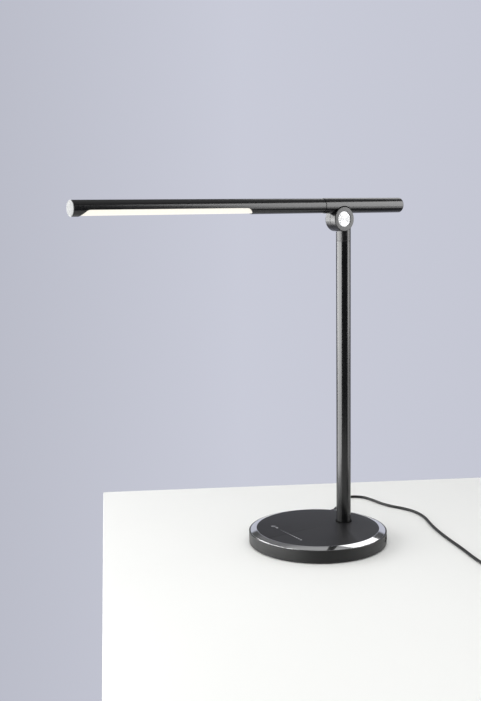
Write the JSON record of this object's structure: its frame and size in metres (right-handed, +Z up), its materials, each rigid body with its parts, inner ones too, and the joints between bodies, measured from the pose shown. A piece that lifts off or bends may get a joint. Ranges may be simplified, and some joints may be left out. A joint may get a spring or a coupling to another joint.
{
  "type": "led table lamp",
  "caption": "Table lamp with a weighted round touch base, a slim pole, a split friction hinge and a tube light that tilts, swivels and rolls; a charging port, a power cord and an adapter.",
  "frame": {"origin": "middle of the base's underside, on the table", "axes": "+Z up; the light's tip points to -Y; the bright disc of the hinge faces +X"},
  "size_m": [0.3978, 0.5508, 0.4462],
  "materials": {
    "pad_foam": "matt foam rubber",
    "base_plastic": "satin black moulding",
    "plated_steel": "nickel plated",
    "raw_iron": "as cast",
    "bright_chrome": "mirror",
    "panel_charcoal": "fine matt",
    "circuit_board": "solder mask",
    "black_tube": "satin black paint",
    "bare_aluminium": "bare",
    "lead_jacket": "matt",
    "nylon": "natural",
    "black_casting": "satin black paint on a die casting",
    "spun_aluminium": "spun face",
    "opal_lens": "opal, lit from inside",
    "white_board": "white solder mask",
    "led_phosphor": "phosphor",
    "cord_rubber": "satin",
    "adapter_plastic": "satin"
  },
  "bodies": {
    "base": {"anti_slip_pad": "pad_foam", "bottom_cover": "base_plastic", "bottom_screws": "plated_steel", "counterweight": "raw_iron", "base_shell": "base_plastic", "chrome_ring": "bright_chrome", "touch_panel": "panel_charcoal", "power_board": "circuit_board", "touch_board": "circuit_board", "usb_bezel": "base_plastic", "usb_socket": "plated_steel", "dc_socket": "base_plastic", "pole_tube": "black_tube", "pole_insert": "bare_aluminium", "pole_nipple": "plated_steel", "pole_washer": "plated_steel", "pole_nut": "plated_steel", "foot_ring": "base_plastic", "pole_lead": "lead_jacket", "swivel_spindle": "plated_steel", "swivel_washer": "nylon", "dc_plug_barrel": "plated_steel", "dc_plug_grip": "cord_rubber", "power_cord": "cord_rubber", "cord_coil": "cord_rubber", "coil_tie": "cord_rubber", "adapter_relief": "cord_rubber", "adapter_body": "adapter_plastic", "adapter_pins": "plated_steel"},
    "head": {"swivel_collar": "black_casting", "swivel_set_screw": "plated_steel", "hinge_bolt": "plated_steel", "friction_washer": "nylon", "spring_washers": "plated_steel", "hinge_nut": "plated_steel", "hinge_disc": "spun_aluminium"},
    "arm": {"arm_knuckle": "black_casting", "rear_hinge_cap": "black_casting", "arm_sleeve": "black_tube", "roll_spindle": "plated_steel", "roll_clip": "plated_steel", "roll_washer": "nylon", "arm_lead": "lead_jacket"},
    "light": {"light_tube": "black_tube", "light_hub": "bare_aluminium", "diffuser": "opal_lens", "led_carrier": "bare_aluminium", "led_board": "white_board", "led_chips": "led_phosphor", "light_lead": "lead_jacket", "end_cap": "bright_chrome", "tip_screw": "plated_steel"}
  },
  "joints": [
    {"name": "head_swivel", "type": "hinge", "parent": "base", "child": "head", "pos_m": [0, 0.044, 0.4], "axis": [0, 0, 1], "range_deg": [-90, 90]},
    {"name": "arm_tilt", "type": "hinge", "parent": "head", "child": "arm", "pos_m": [0, 0.0378, 0.4195], "axis": [1, 0, 0], "range_deg": [-30, 90]},
    {"name": "light_roll", "type": "hinge", "parent": "arm", "child": "light", "pos_m": [0, 0, 0.4365], "axis": [0, 1, 0], "range_deg": [-90, 90]}
  ]
}
